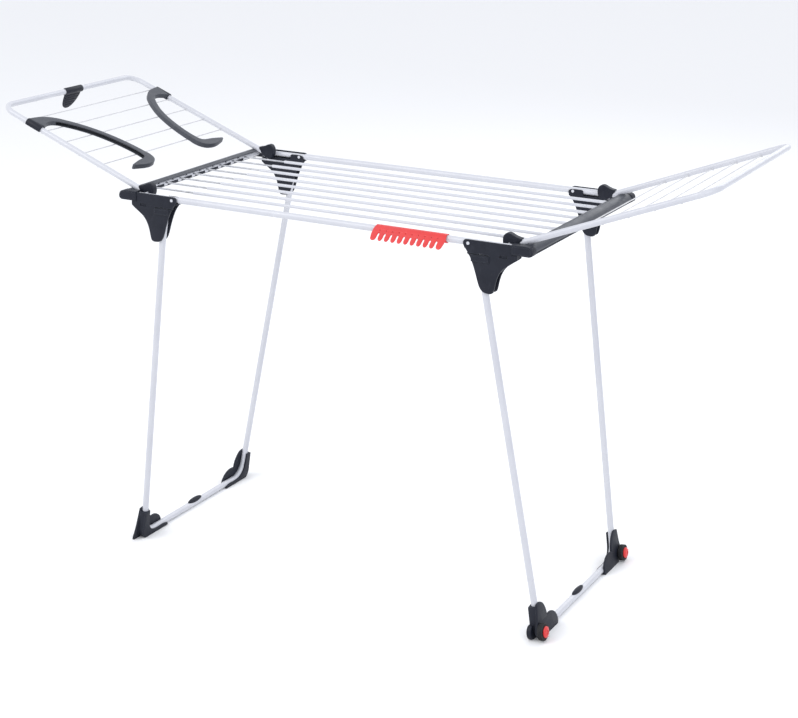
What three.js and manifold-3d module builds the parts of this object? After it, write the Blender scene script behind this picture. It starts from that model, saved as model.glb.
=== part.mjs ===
// Winged clothes drying rack: an extending rail frame on two folding U-shaped leg frames,
// with a folding wing at each end. Millimetres, +Z up, origin on the floor under the middle.
import * as THREE from 'three';
import { mergeVertices } from 'three/addons/utils/BufferGeometryUtils.js';
import Module from 'manifold-3d';

const wasm = await Module();
wasm.setup();

// Driving dimensions
const GAP = 0.3;
const RAIL_Z = 888;
const RAIL_Y = 275;
const RAIL_R = 7.5;
const RAIL_BORE_R = 6.5;
const INNER_RAIL_R = 6.2;
const RAIL_END_X = 470;
const RAIL_OPEN_X = -359;
const INNER_REACH_X = 400;
const ROD_COUNT = 8;
const ROD_PITCH = 56.5;
const ROD_R = 3.5;
const ROD_BORE_R = 2.4;
const INNER_ROD_R = 2.1;
const ROD_OPEN_X = -373;
const BAR_X = 498;
const BAR_Z = 886;
const BAR_R = 7;
const COVER_OUT_X = 517;
const BLOCK_IN_Y = 266.6;
const BLOCK_OUT_Y = 289;
const PLATE_IN_Y = 264.2;
const PLATE_OUT_Y = 287;
const LEG_PIVOT_X = 397;
const LEG_PIVOT_Z = 859;
const LEG_SPLAY = THREE.MathUtils.degToRad(9.29);
const LEG_LENGTH = 861;
const LEG_R = 7.5;
const LEG_FOOT_Y = 220;
const LEG_BEND_R = 40;
const LEG_PIN_R = 3;
const WING_PIVOT_X = 455;
const WING_PIVOT_Z = 892;
const WING_ANGLE = THREE.MathUtils.degToRad(21.2);
const WING_Y = 256;
const WING_R = 6.75;
const WING_DROP = 5.3;
const WING_REACH = 452;
const WING_START = 8;
const WING_BEND_R = 36;
const WING_PIN_R = 2.5;
const LINE_COUNT = 5;
const LINE_FIRST = 151;
const LINE_DROP = 9.3;
const LINE_PITCH = 57.5;
const LINE_R = 1.3;
const CAM_IN_Y = 248;
const CAM_OUT_Y = 263.6;
const WHEEL_R = 19.5;
const WHEEL_WIDTH = 12;
const AXLE_R = 4;
const ARM_CLIP_FROM = 326;
const ARM_CLIP_TO = 370;
const ARM_LOW = GAP + LINE_R - LINE_DROP;
const ARM_HIGH = 4.5;
const ARM_FLANGE = 2.4;
const LATCH_R = 8.7;
const CLIP_X = 236;
const CLIP_LENGTH = 168;
const CLIP_TEETH = 11;

// Materials
const paint = (color, roughness, metalness) => () => new THREE.MeshStandardMaterial({ color, roughness, metalness });
const whiteSteel = paint(0xe9eaf1, 0.35, 0.2);
const zincSteel = paint(0xb5b7bb, 0.35, 0.9);
const linePaint = paint(0xdcdde0, 0.4, 0.1);
const darkPlastic = paint(0x2b2d33, 0.5, 0);
const greyPlastic = paint(0x55575c, 0.42, 0);
const tyreRubber = paint(0x17181b, 0.75, 0);
const redPlastic = paint(0xd8242c, 0.35, 0);

const mesh = (name, geometry, material) => {
  const result = new THREE.Mesh(geometry, material());
  result.name = name;
  return result;
};

// Boolean helpers
const toSolid = (geometry) => {
  const bare = geometry.clone();
  bare.deleteAttribute('normal');
  bare.deleteAttribute('uv');
  const merged = mergeVertices(bare, 0.001);
  const vertProperties = new Float32Array(merged.attributes.position.array);
  const triVerts = new Uint32Array(merged.index.array);
  return new wasm.Manifold(new wasm.Mesh({ numProp: 3, vertProperties, triVerts }));
};
const toGeometry = (solid) => {
  const data = solid.getMesh();
  const geometry = new THREE.BufferGeometry();
  geometry.setAttribute('position', new THREE.BufferAttribute(new Float32Array(data.vertProperties), 3));
  geometry.setIndex(new THREE.BufferAttribute(new Uint32Array(data.triVerts), 1));
  geometry.computeVertexNormals();
  return geometry;
};
const combine = (added, cut = []) => {
  let solid = toSolid(added[0]);
  for (const geometry of added.slice(1)) solid = solid.add(toSolid(geometry));
  for (const geometry of cut) solid = solid.subtract(toSolid(geometry));
  return toGeometry(solid);
};

// Mirrors a geometry built in the +X +Y quarter into another quarter
const mirrored = (geometry, sx, sy) => {
  const result = geometry.clone();
  result.scale(sx, sy, 1);
  if (sx * sy < 0) {
    const index = result.index;
    for (let i = 0; i < index.count; i += 3) {
      const second = index.getX(i + 1);
      index.setX(i + 1, index.getX(i + 2));
      index.setX(i + 2, second);
    }
  }
  result.computeVertexNormals();
  return result;
};

// Shape helpers
const outline = (points) => new THREE.Shape(points.map(([a, b]) => new THREE.Vector2(a, b)));
const ring = (radius, sides) => {
  const points = [];
  for (let i = 0; i < sides; i++) {
    const angle = ((i + 0.5) / sides) * 2 * Math.PI;
    points.push([radius * Math.cos(angle), radius * Math.sin(angle)]);
  }
  return outline(points);
};
const arcPoints = (cx, cy, radius, fromDeg, toDeg, steps) => {
  const points = [];
  for (let i = 0; i <= steps; i++) {
    const angle = THREE.MathUtils.degToRad(fromDeg + ((toDeg - fromDeg) * i) / steps);
    points.push([cx + radius * Math.cos(angle), cy + radius * Math.sin(angle)]);
  }
  return points;
};
// An X-Z outline given thickness along Y
const slabY = (shape, fromY, toY) => {
  const geometry = new THREE.ExtrudeGeometry(shape, { depth: toY - fromY, bevelEnabled: false });
  return geometry.rotateX(Math.PI / 2).translate(0, toY, 0);
};
// A Y-Z outline given thickness along X
const yToX = new THREE.Matrix4().makeBasis(
  new THREE.Vector3(0, 1, 0),
  new THREE.Vector3(0, 0, 1),
  new THREE.Vector3(1, 0, 0),
);
const slabX = (shape, fromX, toX) => {
  const geometry = new THREE.ExtrudeGeometry(shape, { depth: toX - fromX, bevelEnabled: false });
  return geometry.applyMatrix4(yToX).translate(fromX, 0, 0);
};
const barX = (radius, fromX, toX, y, z, sides = 12) => slabX(ring(radius, sides), fromX, toX).translate(0, y, z);
const barY = (radius, fromY, toY, x, z, sides = 12) => slabY(ring(radius, sides), fromY, toY).translate(x, 0, z);
const box = (x0, x1, y0, y1, z0, z1) => {
  const geometry = new THREE.BoxGeometry(x1 - x0, y1 - y0, z1 - z0);
  return geometry.translate((x0 + x1) / 2, (y0 + y1) / 2, (z0 + z1) / 2);
};

// A tube route through its own stations, one ring at each
class Route extends THREE.Curve {
  constructor(stations) {
    super();
    this.stations = stations;
  }
  getPoint(t, target = new THREE.Vector3()) {
    const at = THREE.MathUtils.clamp(t, 0, 1) * (this.stations.length - 1);
    const before = Math.min(Math.floor(at), this.stations.length - 2);
    return target.lerpVectors(this.stations[before], this.stations[before + 1], at - before);
  }
  getPointAt(u, target) {
    return this.getPoint(u, target);
  }
  getTangentAt(u, target) {
    return this.getTangent(u, target);
  }
  getSpacedPoints(divisions) {
    return this.getPoints(divisions);
  }
}
// Stations along straight runs joined by arcs: corners are [Vector3, bend radius]
const bentRoute = (corners, stepsPerBend) => {
  const stations = [corners[0][0]];
  for (let i = 1; i < corners.length - 1; i++) {
    const [corner, radius] = corners[i];
    const back = corners[i - 1][0].clone().sub(corner).normalize();
    const ahead = corners[i + 1][0].clone().sub(corner).normalize();
    const half = Math.acos(THREE.MathUtils.clamp(back.dot(ahead), -1, 1)) / 2;
    const centre = back.clone().add(ahead).normalize().multiplyScalar(radius / Math.sin(half)).add(corner);
    const first = back.clone().multiplyScalar(radius / Math.tan(half)).add(corner).sub(centre);
    const last = ahead.clone().multiplyScalar(radius / Math.tan(half)).add(corner).sub(centre);
    const turn = Math.PI - 2 * half;
    const steps = Math.max(1, Math.round((stepsPerBend * turn) / (Math.PI / 2)));
    for (let k = 0; k <= steps; k++) {
      const share = k / steps;
      const a = Math.sin((1 - share) * turn) / Math.sin(turn);
      const b = Math.sin(share * turn) / Math.sin(turn);
      stations.push(first.clone().multiplyScalar(a).addScaledVector(last, b).add(centre));
    }
  }
  stations.push(corners.at(-1)[0]);
  return new Route(stations);
};
const sweep = (route, section) => new THREE.ExtrudeGeometry(section, {
  steps: route.stations.length - 1,
  bevelEnabled: false,
  extrudePath: route,
});
const vec = (x, y, z) => new THREE.Vector3(x, y, z);

// Rails and rods
const boredTube = (radius, bore, fromX, toX, y, sides, extras = []) => combine(
  [barX(radius, fromX, toX, y, RAIL_Z, sides), ...extras],
  [barX(bore, fromX - 10, INNER_REACH_X + 20, y, RAIL_Z, sides)],
);
const wingPin = (sx, sy) => {
  const low = Math.min(sy * (RAIL_Y - 4), sy * (CAM_IN_Y + 3));
  const high = Math.max(sy * (RAIL_Y - 4), sy * (CAM_IN_Y + 3));
  return barY(WING_PIN_R, low, high, sx * WING_PIVOT_X, WING_PIVOT_Z, 10);
};
const outerRail = (sy) => {
  return boredTube(RAIL_R, RAIL_BORE_R, RAIL_OPEN_X, RAIL_END_X, sy * RAIL_Y, 12, [wingPin(1, sy)]);
};
const innerRail = (sy) => combine([
  barX(INNER_RAIL_R, -RAIL_END_X, INNER_REACH_X, sy * RAIL_Y, RAIL_Z),
  wingPin(-1, sy),
]);
const rodY = (i) => (i - (ROD_COUNT - 1) / 2) * ROD_PITCH;
const rodEndX = BAR_X - BAR_R - GAP;

// End cover: a shell over the cross bar, a lip under its outer side, a block at each end
const coverShell = [
  [489, 893.2], [489, 895.2], [493, 896.8], [499, 897.6], [506, 897], [511, 895], [514.8, 891], [COVER_OUT_X, 886],
  [515.4, 881.6], [512.6, 882.4], [513.6, 886], [511, 890.4], [506, 893.4], [500, 894.4], [493, 893.8],
];
const coverLip = [[502, 875.6], [511, 875.6], [515, 877.6], [514, 878.6], [502, 878.4]];
const coverBlock = [[RAIL_END_X + GAP, 875.6], [513, 875.6], [COVER_OUT_X, 879], [COVER_OUT_X, 890], [513, 895.4],
  [500, 897.6], [RAIL_END_X + GAP, 897.6]];
const wingAxisAt = (along, y, across = 0) => vec(
  WING_PIVOT_X + along * Math.cos(WING_ANGLE) - across * Math.sin(WING_ANGLE),
  y,
  WING_PIVOT_Z + along * Math.sin(WING_ANGLE) + across * Math.cos(WING_ANGLE),
);
const endCover = () => {
  const added = [
    slabY(outline(coverShell), -BLOCK_IN_Y - 1, BLOCK_IN_Y + 1),
    slabY(outline(coverLip), -BLOCK_IN_Y - 1, BLOCK_IN_Y + 1),
    slabY(outline(coverBlock), BLOCK_IN_Y, BLOCK_OUT_Y),
    slabY(outline(coverBlock), -BLOCK_OUT_Y, -BLOCK_IN_Y),
  ];
  const saddles = [-WING_Y, WING_Y].map((y) => sweep(
    new Route([wingAxisAt(10, y, -WING_DROP), wingAxisAt(90, y, -WING_DROP)]),
    ring(WING_R + GAP + 0.1, 12),
  ));
  return combine(added, saddles);
};

// Corner bracket: two shield-shaped plates with the rail and the leg tube between them
const shieldLower = [
  [484, 874.8], [484, 866], [478, 861], [462, 850], [452, 843], [443, 830], [437, 812], [434, 796], [429, 788],
  [421, 786], [412, 786], [402, 793], [396, 808], [391, 824], [384, 844], [375, 863], [367, 876],
];
const bracket = () => {
  const outerShape = outline([[361, 884], [360.5, 889], [363, 894], [367, 895.8], [469.8, 895.8],
    [469.8, 874.8], ...shieldLower]);
  const slot = [[444, 865.5], [461, 865.5], [461, 871.5], [444, 871.5]];
  outerShape.holes.push(new THREE.Path(slot.map(([a, b]) => new THREE.Vector2(a, b))));
  const innerShape = outline([[362, 880], [362, 888], [366, 891.4], [371, 892.6], [396, 892.6], [399, 880],
    [469.8, 879], [469.8, 874.8], ...shieldLower]);
  const web = outline([[409.4, 832], [407.5, 846], [426, 868], [426, 880], [469.8, 880], [469.8, 874.8],
    [484, 874.8], [484, 866], [478, 861], [462, 850], [452, 843], [443, 832]]);
  const plateOuter = slabY(outerShape, RAIL_Y + RAIL_R + 0.5, PLATE_OUT_Y);
  const plateInner = slabY(innerShape, PLATE_IN_Y, RAIL_Y - RAIL_R - GAP);
  const filler = slabY(web, PLATE_IN_Y + 1, RAIL_Y + RAIL_R + 2);
  const pad = box(380, 421, PLATE_OUT_Y - 1, PLATE_OUT_Y + 2.5, 851, 865);
  const pin = barY(LEG_PIN_R, PLATE_IN_Y + 1, PLATE_OUT_Y - 1, LEG_PIVOT_X, LEG_PIVOT_Z, 10);
  const slotCut = box(444, 461, PLATE_IN_Y + 5, PLATE_OUT_Y + 1, 865.5, 871.5);
  return combine([plateOuter, plateInner, filler, pad, pin], [slotCut]);
};

// Leg frame, in its own group: origin on the pivots, legs down -Z, X outward
const legRoute = () => {
  const corners = [[vec(0, RAIL_Y, 10), 0], [vec(0, RAIL_Y, -80), 120], [vec(0, LEG_FOOT_Y, -LEG_LENGTH), LEG_BEND_R]];
  const others = corners.map(([p, r]) => [vec(p.x, -p.y, p.z), r]).reverse();
  return bentRoute([...corners, ...others], 6);
};
const legTube = () => combine(
  [sweep(legRoute(), ring(LEG_R, 12))],
  [-1, 1].map((side) => barY(LEG_PIN_R + 0.4, side * RAIL_Y - 12, side * RAIL_Y + 12, 0, 0, 10)),
);
const floorCut = () => {
  const cutter = new THREE.BoxGeometry(300, 700, 60);
  cutter.translate(LEG_LENGTH * Math.sin(LEG_SPLAY), 0, -LEG_PIVOT_Z - 30);
  return cutter.rotateY(LEG_SPLAY);
};
// Foot outlines: outward from the leg, up the leg, measured from the corner of the tube
const footPlate = [
  [15, 70], [3, 72], [-8, 69], [-18, 60], [-25, 48], [-28, 38], [-29, 29], [-36, 30], [-50, 30], [-63, 25],
  [-74, 15], [-80, 2], [-80, -8], [-74, -16], [31, -16], [32, -8], [26, 12], [20, 42],
];
// The wheeled foot's plate is rounded off around the axle
const wheeledPlate = [...footPlate.slice(0, 14), [6, -16], [12, -3.6], [20, -3.8], [27, 0.2], [31, 8], [29.6, 16],
  [24, 28], [20, 42]];
const footUnder = [[-87, -6.5], [-80, -9.6], [-5, -11], [6, -9], [13, -3], [18, 8], [18, 30]];
const footWrap = [[17, 64], [-1, 66], [-2.5, 46], [-4, 30], [-10, 15], [-22, 5.5], [-40, 2], [-78, 1], [-86, -2.5],
  ...footUnder];
const footSpine = [[17, 64], [7, 66], [5, 40], [-4, 6], [-30, -3], [-84, -4], ...footUnder.slice(1)];
const footBase = (plate) => {
  const corner = (points) => outline(points.map(([a, b]) => [LEG_FOOT_Y + a, -LEG_LENGTH + b]));
  return [
    slabX(corner(plate), 6, 11.5),
    slabX(corner(footWrap), -11.3, -7.2),
    slabX(corner(footSpine), -8, 7),
  ];
};
const tubeCut = () => sweep(legRoute(), ring(LEG_R + GAP, 12));
const plainFoot = () => combine(footBase(footPlate), [tubeCut(), floorCut()]);
// Wheeled foot: an axle stub on the outer face and a pair of ribs across the toe
const wheelAt = vec(12.8 + WHEEL_WIDTH / 2, LEG_FOOT_Y + 18, -LEG_LENGTH + 9.4);
const wheeledFoot = () => {
  const axle = barX(AXLE_R, 9, wheelAt.x + WHEEL_WIDTH / 2 - 2, wheelAt.y, wheelAt.z, 12);
  const boss = barX(9, 9, 12.2, wheelAt.y, wheelAt.z, 14);
  const ribCut = box(-20, 5, LEG_FOOT_Y + 14, LEG_FOOT_Y + 19, -LEG_LENGTH - 20, -LEG_LENGTH - 5.5);
  const toeRim = arcPoints(LEG_FOOT_Y + 20, -LEG_LENGTH + 7.6, 16.6, -85, 88, 8);
  const toeRoot = [[LEG_FOOT_Y + 8, -LEG_LENGTH + 22], [LEG_FOOT_Y + 8, -LEG_LENGTH - 9]];
  const toe = slabX(outline([...toeRim, ...toeRoot]), -13, -2.5);
  return combine([...footBase(wheeledPlate), toe, axle, boss], [tubeCut(), floorCut(), ribCut]);
};
const lathedX = (profile, segments) => {
  const points = profile.map(([radius, along]) => new THREE.Vector2(radius, along));
  return new THREE.LatheGeometry(points, segments).rotateZ(-Math.PI / 2);
};
const tyre = () => {
  const half = WHEEL_WIDTH / 2;
  const bore = AXLE_R + 0.4;
  const profile = [[bore, -half], [WHEEL_R - 2, -half], [WHEEL_R, -half + 2], [WHEEL_R, half - 2], [WHEEL_R - 2, half],
    [bore, half], [bore, -half]];
  return lathedX(profile, 20);
};
const hubCap = () => {
  const base = WHEEL_WIDTH / 2 + GAP;
  const profile = [[0, base], [13, base], [13, base + 2], [11, base + 4.6], [6, base + 6], [0, base + 6.4]];
  return lathedX(profile, 16);
};
const crossPad = () => {
  const dome = new THREE.SphereGeometry(1, 14, 8).scale(7, 29, 7);
  dome.translate(0.5, 0, -LEG_LENGTH + 7.6);
  return combine([dome], [tubeCut()]);
};

// Wing, in its own group: origin on the pivots, X out along the wing, Z square to it
const wingRoute = () => bentRoute([
  [vec(WING_START, WING_Y, -WING_DROP), 0],
  [vec(WING_REACH, WING_Y, -WING_DROP), WING_BEND_R],
  [vec(WING_REACH, -WING_Y, -WING_DROP), WING_BEND_R],
  [vec(WING_START, -WING_Y, -WING_DROP), 0],
], 6);
const wingTube = () => sweep(wingRoute(), ring(WING_R, 12));
const wingLine = (i) => {
  const reach = WING_Y - WING_R + 0.5;
  return barY(LINE_R, -reach, reach, LINE_FIRST + i * LINE_PITCH, -LINE_DROP, 8);
};
// Hinge cap on the tube end: rounded at the back, drawn out to a point over the tube
const camShape = [[-14, 2], [-12, 13], [-6, 20.5], [2, 23], [9, 20], [18, 11.5], [29, 3.4], [28, -0.5], [21, -5],
  [15, -14], [6, -18.5], [-4, -17.5], [-12, -9]];
const cam = (sy) => {
  const body = slabY(outline(camShape), CAM_IN_Y, CAM_OUT_Y);
  const socket = barX(WING_R + GAP, WING_START - GAP, 60, WING_Y, -WING_DROP);
  const pinHole = barY(WING_PIN_R + 0.4, CAM_IN_Y + 2, CAM_OUT_Y + 5, 0, 0, 10);
  return mirrored(combine([body], [socket, pinHole]), 1, sy);
};
// Clothes-hanger arm: a split sleeve on the side tube and a hooked arm that lies just over the lines,
// with a groove along its inner side. Keys are (along, across, width) down the middle of the arm.
const openSleeve = (inner, outer, fromDeg, toDeg) => outline([
  ...arcPoints(0, 0, outer, fromDeg, toDeg, 9),
  ...arcPoints(0, 0, inner, toDeg, fromDeg, 9),
]);
const armKeys = [[348, 254, 44], [351, 236, 34], [350, 214, 25], [340, 192, 19], [322, 174, 17], [296, 154, 15.5],
  [271, 139, 15], [230, 122, 15], [187, 111, 15.5], [160, 107, 16], [141, 106, 17], [124, 106, 21],
  [110, 114, 25], [104, 130, 25], [103, 150, 22], [103, 168, 14], [103, 187, 4]];
// One edge of the arm: the keys moved sideways by a share of the width there plus a fixed distance
const armEdge = (keys, share, extra) => {
  const points = keys.map(([u, y, width], i) => {
    const before = keys[Math.max(i - 1, 0)];
    const after = keys[Math.min(i + 1, keys.length - 1)];
    const along = new THREE.Vector2(after[0] - before[0], after[1] - before[1]).normalize();
    const side = share * width + extra;
    return new THREE.Vector2(u - along.y * side, y + along.x * side);
  });
  return new THREE.SplineCurve(points).getPoints(3 * (keys.length - 1));
};
const ribbon = (keys, left, right, low, high) => {
  const rim = [...armEdge(keys, ...left), ...armEdge(keys, ...right).reverse()];
  const geometry = new THREE.ExtrudeGeometry(new THREE.Shape(rim), { depth: high - low, bevelEnabled: false });
  return geometry.translate(0, 0, low);
};
const hangerArm = (sy) => {
  const sleeve = slabX(openSleeve(WING_R + GAP + 0.1, 9.9, -25, 215), ARM_CLIP_FROM, ARM_CLIP_TO);
  sleeve.translate(0, WING_Y, -WING_DROP);
  const blade = ribbon(armKeys, [0.5, 0], [-0.5, 0], ARM_LOW, ARM_HIGH);
  const grooveKeys = armKeys.slice(3, 12);
  const groove = ribbon(grooveKeys, [0.5, -ARM_FLANGE], [-0.5, -4], ARM_LOW + ARM_FLANGE, ARM_HIGH - ARM_FLANGE);
  const tubeSpace = barX(WING_R + GAP + 0.1, ARM_CLIP_FROM - 20, ARM_CLIP_TO + 20, WING_Y, -WING_DROP);
  return mirrored(combine([sleeve, blade], [tubeSpace, groove]), 1, sy);
};

// Latch on the wing's end tube: a split sleeve with a ribbed tab below it
const latchTab = [[19, -8], [-42, -8], [-42, -13], [-38, -24], [-31, -35], [-22, -44], [-11, -50.5], [0, -52.5], [10, -50],
  [17, -43], [20, -30], [20, -16]];
const latch = () => {
  const sleeve = slabY(openSleeve(WING_R + GAP + 0.1, LATCH_R, 55, 305), -43, 23).translate(WING_REACH, 0, -WING_DROP);
  const tab = slabX(outline(latchTab), WING_REACH - 3.2, WING_REACH).translate(0, 0, -WING_DROP + 5.3);
  return combine([sleeve, tab], [barY(WING_R + GAP + 0.1, -60, 40, WING_REACH, -WING_DROP)]);
};

// Small-items clip on the front rail: a split sleeve and a comb that slopes out and down
const smallItemsClip = () => {
  const half = CLIP_LENGTH / 2;
  const sleeve = slabX(openSleeve(RAIL_R + GAP, RAIL_R + 2.4, 35, 290), -half, half);
  const comb = slabX(outline([[-4, 9.4], [-6.2, 6.8], [-34, -17], [-35.8, -15], [-8, 8.8]]), -half, half);
  const pitch = CLIP_LENGTH / CLIP_TEETH;
  const slots = [];
  for (let i = 1; i < CLIP_TEETH; i++) {
    const slot = new THREE.BoxGeometry(5, 19, 12).rotateX(THREE.MathUtils.degToRad(40.6));
    slots.push(slot.translate(-half + i * pitch, -29, -11.5));
  }
  const rail = barX(RAIL_R + GAP, -half - 5, half + 5, 0, 0);
  return combine([sleeve, comb], [rail, ...slots]);
};

// Assembly. "front" is -Y, "left" is -X.
const rack = new THREE.Group();
const sideName = { 1: 'right', [-1]: 'left' };
const depthName = { 1: 'back', [-1]: 'front' };
for (const sy of [-1, 1]) {
  rack.add(mesh(`rail_${depthName[sy]}`, outerRail(sy), whiteSteel));
  rack.add(mesh(`inner_rail_${depthName[sy]}`, innerRail(sy), whiteSteel));
}
for (let i = 0; i < ROD_COUNT; i++) {
  const rod = boredTube(ROD_R, ROD_BORE_R, ROD_OPEN_X, rodEndX, rodY(i), 8);
  rack.add(mesh(`rod_${i + 1}`, rod, whiteSteel));
  const inner = barX(INNER_ROD_R, -rodEndX, INNER_REACH_X, rodY(i), RAIL_Z, 8);
  rack.add(mesh(`inner_rod_${i + 1}`, inner, zincSteel));
}
for (const sx of [-1, 1]) {
  const side = sideName[sx];
  const bar = barY(BAR_R, -BLOCK_IN_Y + GAP, BLOCK_IN_Y - GAP, sx * BAR_X, BAR_Z);
  rack.add(mesh(`end_bar_${side}`, bar, whiteSteel));
  rack.add(mesh(`end_cover_${side}`, mirrored(endCover(), sx, 1), greyPlastic));
  for (const sy of [-1, 1]) {
    rack.add(mesh(`bracket_${depthName[sy]}_${side}`, mirrored(bracket(), sx, sy), darkPlastic));
  }

  const end = new THREE.Group();
  end.rotation.z = sx > 0 ? 0 : Math.PI;
  rack.add(end);

  const legs = new THREE.Group();
  legs.position.set(LEG_PIVOT_X, 0, LEG_PIVOT_Z);
  legs.rotation.y = -LEG_SPLAY;
  end.add(legs);
  legs.add(mesh(`leg_tube_${side}`, legTube(), whiteSteel));
  legs.add(mesh(`cross_pad_${side}`, crossPad(), darkPlastic));
  for (const sy of [-1, 1]) {
    const depth = depthName[sx * sy];
    const foot = mirrored(sx > 0 ? wheeledFoot() : plainFoot(), 1, sy);
    legs.add(mesh(`foot_${depth}_${side}`, foot, darkPlastic));
    if (sx > 0) {
      const wheel = new THREE.Group();
      wheel.position.set(wheelAt.x, sy * wheelAt.y, wheelAt.z);
      wheel.add(mesh(`tyre_${depth}`, tyre(), tyreRubber));
      wheel.add(mesh(`hub_cap_${depth}`, hubCap(), redPlastic));
      legs.add(wheel);
    }
  }

  const wing = new THREE.Group();
  wing.position.set(WING_PIVOT_X, 0, WING_PIVOT_Z);
  wing.rotation.y = -WING_ANGLE;
  end.add(wing);
  wing.add(mesh(`wing_tube_${side}`, wingTube(), whiteSteel));
  for (let i = 0; i < LINE_COUNT; i++) wing.add(mesh(`line_${side}_${i + 1}`, wingLine(i), linePaint));
  for (const sy of [-1, 1]) {
    const depth = depthName[sx * sy];
    wing.add(mesh(`cam_${depth}_${side}`, cam(sy), darkPlastic));
    if (sx < 0) wing.add(mesh(`hanger_arm_${depth}`, hangerArm(sy), greyPlastic));
  }
  if (sx < 0) wing.add(mesh('wing_latch', latch(), darkPlastic));
}
const clip = mesh('small_items_clip', smallItemsClip(), redPlastic);
clip.position.set(CLIP_X, -RAIL_Y, RAIL_Z);
rack.add(clip);

export default rack;
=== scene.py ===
import math
import bmesh
import bpy
from mathutils import Matrix, Vector


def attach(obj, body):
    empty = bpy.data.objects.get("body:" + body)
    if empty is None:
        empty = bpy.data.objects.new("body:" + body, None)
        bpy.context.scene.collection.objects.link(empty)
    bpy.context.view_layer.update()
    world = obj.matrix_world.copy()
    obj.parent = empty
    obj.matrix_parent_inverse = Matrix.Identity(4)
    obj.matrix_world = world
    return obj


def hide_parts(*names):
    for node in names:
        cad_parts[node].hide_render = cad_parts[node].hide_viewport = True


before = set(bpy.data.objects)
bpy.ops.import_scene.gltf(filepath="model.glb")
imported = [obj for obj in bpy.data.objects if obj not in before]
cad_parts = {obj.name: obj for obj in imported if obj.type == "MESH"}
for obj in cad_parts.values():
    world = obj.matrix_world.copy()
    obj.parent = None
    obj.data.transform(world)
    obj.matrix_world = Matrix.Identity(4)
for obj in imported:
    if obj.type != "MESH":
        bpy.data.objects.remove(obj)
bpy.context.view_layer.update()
scene = bpy.context.scene
mm = 0.001
print("frame loaded")

# camera, light and floor
cameraSetup = {"place": (1.8938, -3.4313, 1.8006), "tilt": 71.52, "roll": 0.34, "turn": 29.04,
               "lens": 78.76, "shift": 0.0337}
lightSetup = {
    "key": {"place": (-2.6, -3.2, 4.2), "size": 3.2, "power": 95, "colour": (1.0, 0.985, 0.96)},
    "fill": {"place": (3.6, -2.4, 2.6), "size": 3.0, "power": 40, "colour": (0.93, 0.95, 1.0)},
    "back": {"place": (0.4, 3.6, 3.4), "size": 3.4, "power": 50, "colour": (0.97, 0.98, 1.0)},
}
worldSetup = {"sky": (0.93, 0.95, 1.0), "strength": 1.0}


def setUpCamera():
    turn = Matrix.Rotation(math.radians(cameraSetup["turn"]), 4, "Z")
    tilt = Matrix.Rotation(math.radians(cameraSetup["tilt"]), 4, "X")
    roll = Matrix.Rotation(math.radians(cameraSetup["roll"]), 4, "Z")
    bpy.ops.object.camera_add(location=cameraSetup["place"], rotation=(turn @ tilt @ roll).to_euler())
    camera = bpy.context.object
    camera.name = "viewCamera"
    camera.data.lens = cameraSetup["lens"]
    camera.data.shift_x = cameraSetup["shift"]
    camera.data.clip_end = 60
    scene.camera = camera


def setUpLights():
    for label, lamp in lightSetup.items():
        aim = Vector((0, 0, 0.6)) - Vector(lamp["place"])
        bpy.ops.object.light_add(type="AREA", location=lamp["place"],
                                 rotation=aim.to_track_quat("-Z", "Y").to_euler())
        light = bpy.context.object
        light.name = label + "Light"
        light.data.size = lamp["size"]
        light.data.energy = lamp["power"]
        light.data.color = lamp["colour"]
    world = bpy.data.worlds.new("studioAir")
    world.use_nodes = True
    nodes, links = world.node_tree.nodes, world.node_tree.links
    sky = nodes["Background"]
    sky.inputs["Color"].default_value = (*worldSetup["sky"], 1)
    sky.inputs["Strength"].default_value = worldSetup["strength"]
    backdrop = nodes.new("ShaderNodeBackground")
    backdrop.inputs["Color"].default_value = (1, 1, 1, 1)
    rays = nodes.new("ShaderNodeLightPath")
    either = nodes.new("ShaderNodeMixShader")
    links.new(rays.outputs["Is Camera Ray"], either.inputs[0])
    links.new(sky.outputs[0], either.inputs[1])
    links.new(backdrop.outputs[0], either.inputs[2])
    links.new(either.outputs[0], nodes["World Output"].inputs["Surface"])
    scene.world = world
    scene.view_settings.view_transform = "Standard"


def layFloor():
    bpy.ops.mesh.primitive_plane_add(size=24)
    floor = bpy.context.object
    floor.name = "studioFloor"
    paper = bpy.data.materials.new("floorPaper")
    paper.use_nodes = True
    shader = paper.node_tree.nodes["Principled BSDF"]
    shader.inputs["Base Color"].default_value = (0.93, 0.93, 0.93, 1)
    shader.inputs["Roughness"].default_value = 0.9
    floor.data.materials.append(paper)


setUpCamera()
setUpLights()
layFloor()
print("studio set up")


# shader groups
def newGroup(name, inputs, outputs):
    group = bpy.data.node_groups.new(name, "ShaderNodeTree")
    for label, kind, value in inputs:
        socket = group.interface.new_socket(label, in_out="INPUT", socket_type=kind)
        if value is not None:
            socket.default_value = value
    for label, kind in outputs:
        group.interface.new_socket(label, in_out="OUTPUT", socket_type=kind)
    return group, group.nodes.new("NodeGroupInput"), group.nodes.new("NodeGroupOutput")


def mathNode(nodes, links, operation, first, second, clamp=False):
    node = nodes.new("ShaderNodeMath")
    node.operation = operation
    node.use_clamp = clamp
    for socket, value in zip(node.inputs, (first, second)):
        if isinstance(value, (int, float)):
            socket.default_value = value
        elif value is not None:
            links.new(value, socket)
    return node.outputs[0]


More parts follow.
